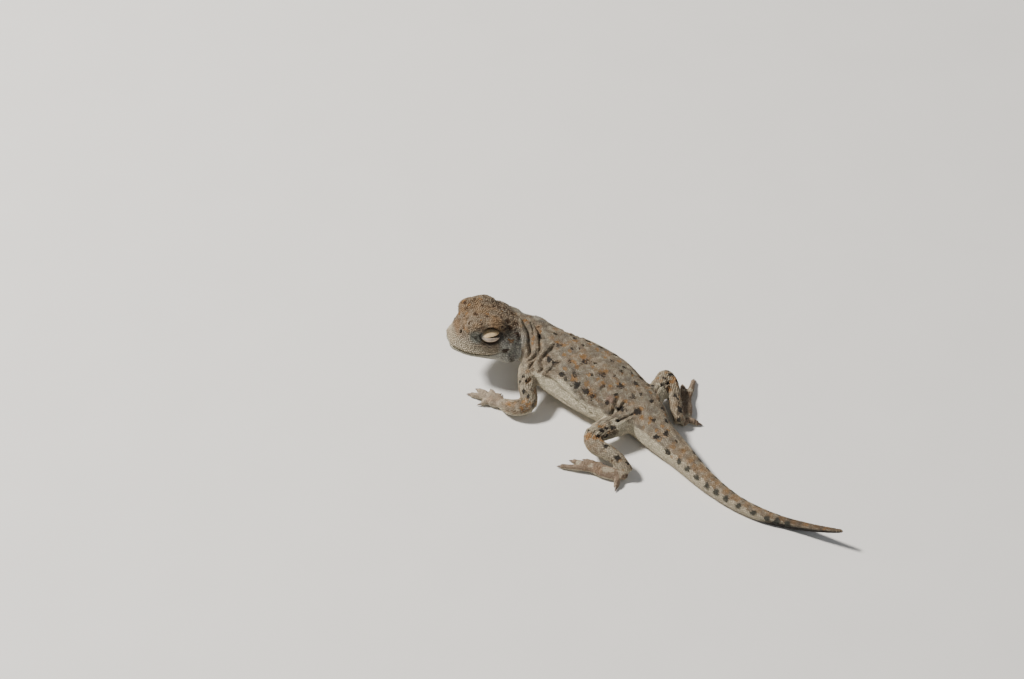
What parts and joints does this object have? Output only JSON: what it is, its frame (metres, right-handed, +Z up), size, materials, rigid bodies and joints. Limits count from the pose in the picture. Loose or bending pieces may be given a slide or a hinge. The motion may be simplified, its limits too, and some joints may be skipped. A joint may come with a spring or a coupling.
{
  "type": "toad-headed agama lizard",
  "caption": "Life-size still model of a montane toad-headed agama, a small desert lizard at rest with its head turned to its left.",
  "frame": {"origin": "under the middle of the bounding box, on the floor", "axes": "+Z up, the head end at -X and the tail tip at +X, the animal's left side towards -Y"},
  "size_m": [0.1031, 0.0412, 0.0188],
  "materials": {
    "skin": "finely scaled grey-beige skin with dark and rusty spots",
    "lids": "fine pale scales",
    "eye": "wet and dark",
    "claws": "dark horn"
  },
  "bodies": {
    "root": {"head": "skin", "lower_jaw": "skin", "neck": "skin", "torso": "skin", "tail_base": "skin", "tail_middle": "skin", "tail_tip": "skin", "upper_arm_left": "skin", "forearm_left": "skin", "hand_left": "skin", "upper_arm_right": "skin", "forearm_right": "skin", "hand_right": "skin", "thigh_left": "skin", "shank_left": "skin", "foot_left": "skin", "thigh_right": "skin", "shank_right": "skin", "foot_right": "skin", "eye_left": "eye", "eye_right": "eye", "upper_lid_left": "lids", "upper_lid_right": "lids", "lower_lid_left": "lids", "lower_lid_right": "lids"}
  },
  "joints": []
}
